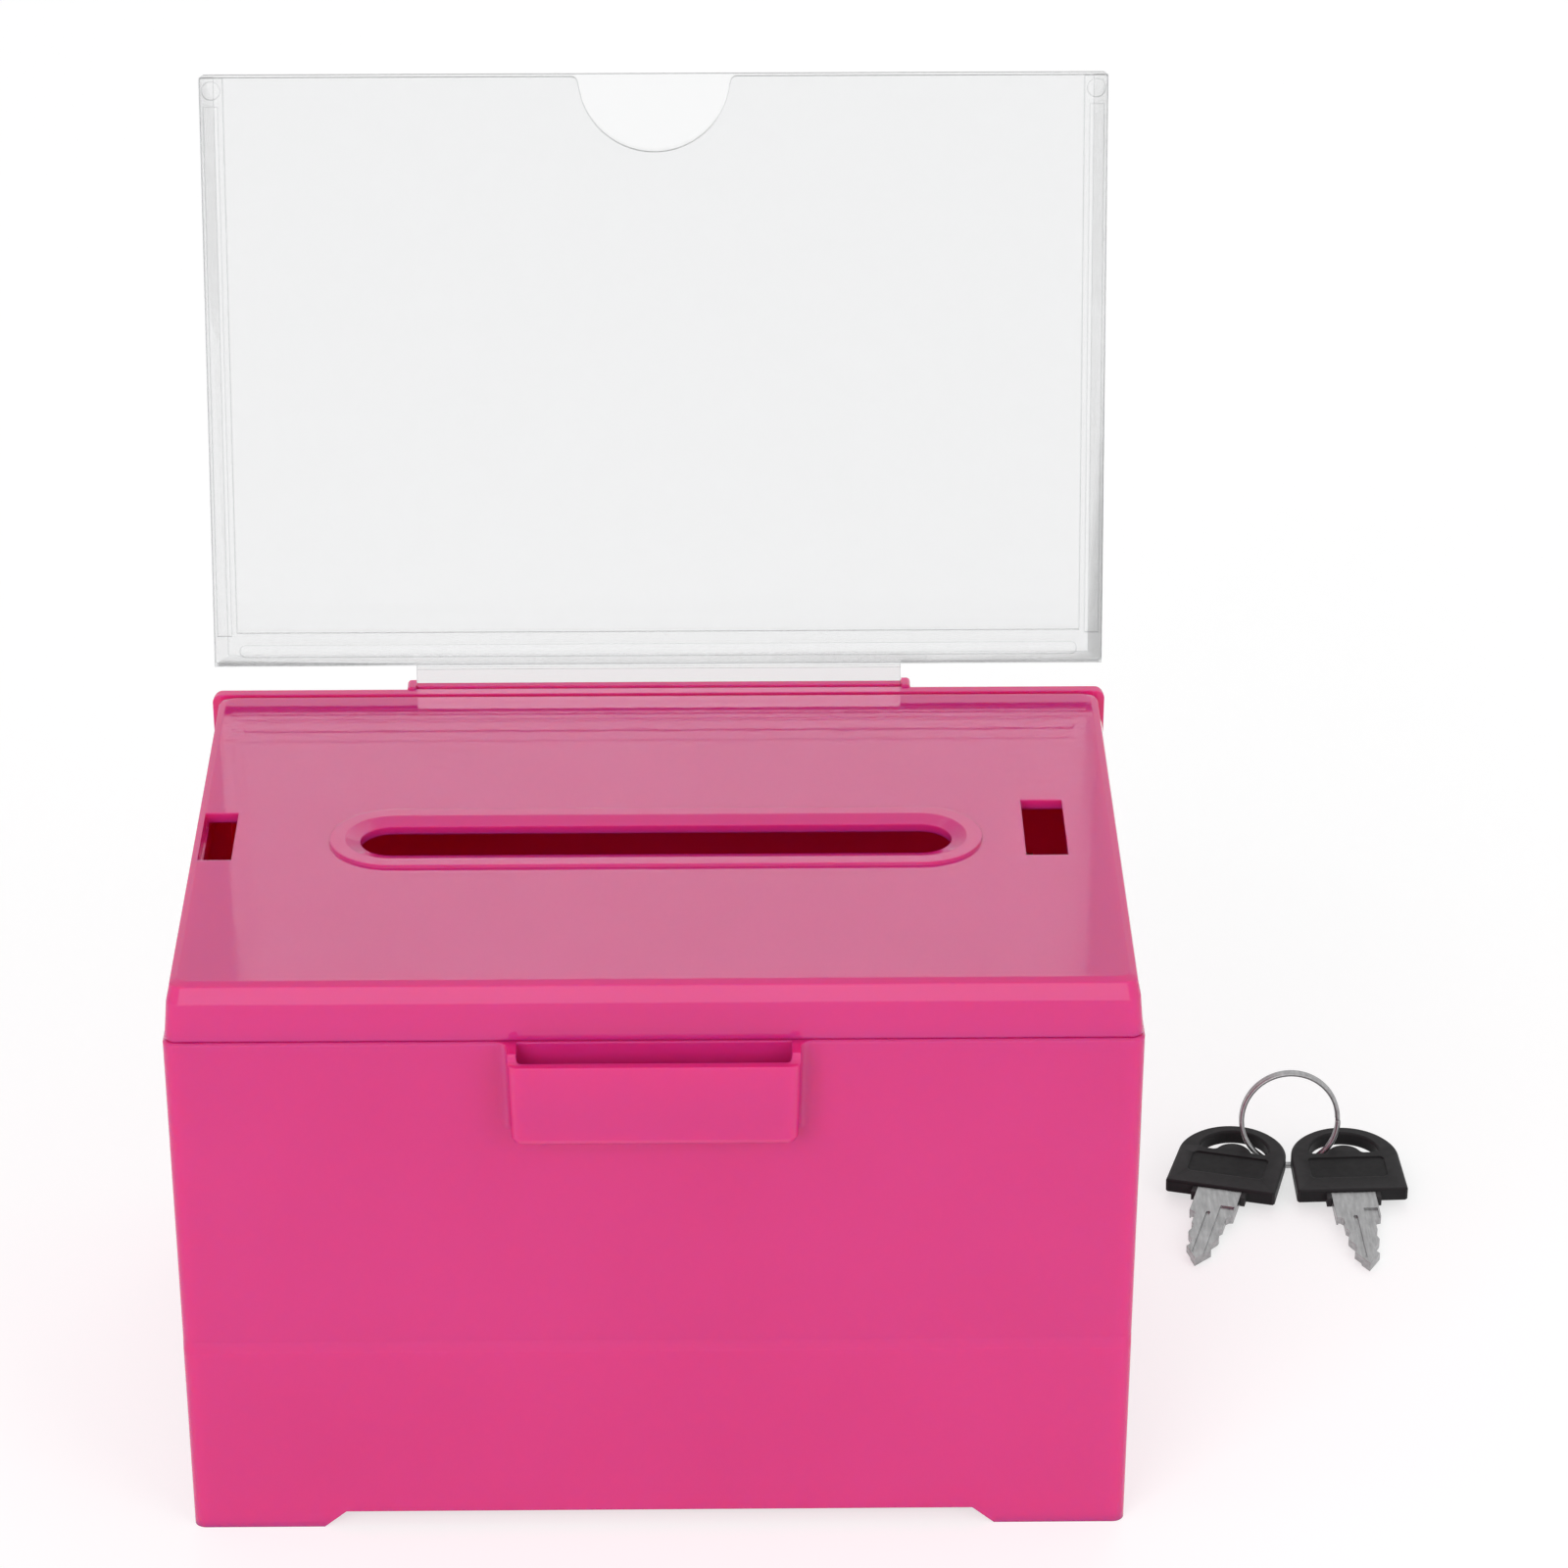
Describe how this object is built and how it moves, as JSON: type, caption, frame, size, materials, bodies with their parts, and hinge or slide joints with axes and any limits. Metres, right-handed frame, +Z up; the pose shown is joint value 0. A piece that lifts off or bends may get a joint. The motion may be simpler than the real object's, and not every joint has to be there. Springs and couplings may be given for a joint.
{
  "type": "ballot box",
  "caption": "Pink moulded tabletop ballot box with a slotted hinged lid, clear slip-in sign holder, front card pocket, side cam lock and black-headed keys on a split ring",
  "frame": {"origin": "centre of the whole set's footprint (box and keys), on the surface it stands on", "axes": "+Z up, -Y out of the front, +X to the lock's side, where the keys lie"},
  "size_m": [0.2175, 0.1433, 0.2105],
  "materials": {
    "pink_plastic": "smooth moulded gloss",
    "clear_plastic": "clear moulded plastic",
    "lock_chrome": "bright plated",
    "brass": "stamped",
    "zinc_steel": "zinc plated",
    "black_plastic": "satin moulded",
    "blade_steel": "nickel plated, slightly dull"
  },
  "bodies": {
    "box": {"box_body": "pink_plastic", "lock_housing": "lock_chrome", "lock_nut_washer": "zinc_steel", "lock_nut": "zinc_steel"},
    "lid": {"lid": "pink_plastic"},
    "sign": {"sign_back_sheet": "clear_plastic", "sign_front_sheet": "clear_plastic"},
    "plug": {"lock_plug": "lock_chrome", "wafer_tumblers": "brass", "stop_washer": "zinc_steel", "lock_cam": "zinc_steel", "cam_spring_washer": "zinc_steel", "cam_screw": "zinc_steel"},
    "keys": {"left_key_head": "black_plastic", "left_key_blade": "blade_steel", "right_key_head": "black_plastic", "right_key_blade": "blade_steel", "key_ring": "blade_steel"}
  },
  "joints": [
    {"name": "lid_hinge", "type": "hinge", "parent": "box", "child": "lid", "pos_m": [-0.1084, 0, 0.0929], "axis": [0, -1, 0], "range_deg": [0, 80]},
    {"name": "sign_slide", "type": "slide", "parent": "box", "child": "sign", "axis": [0, 0, 1], "range_m": [0, 0.04]},
    {"name": "lock_turn", "type": "hinge", "parent": "box", "child": "plug", "pos_m": [0, 0.0098, 0.07], "axis": [1, 0, 0], "range_deg": [0, 90]},
    {"name": "keys_lift", "type": "slide", "parent": "box", "child": "keys", "axis": [0, 0, 1], "range_m": [0, 0.12]}
  ]
}
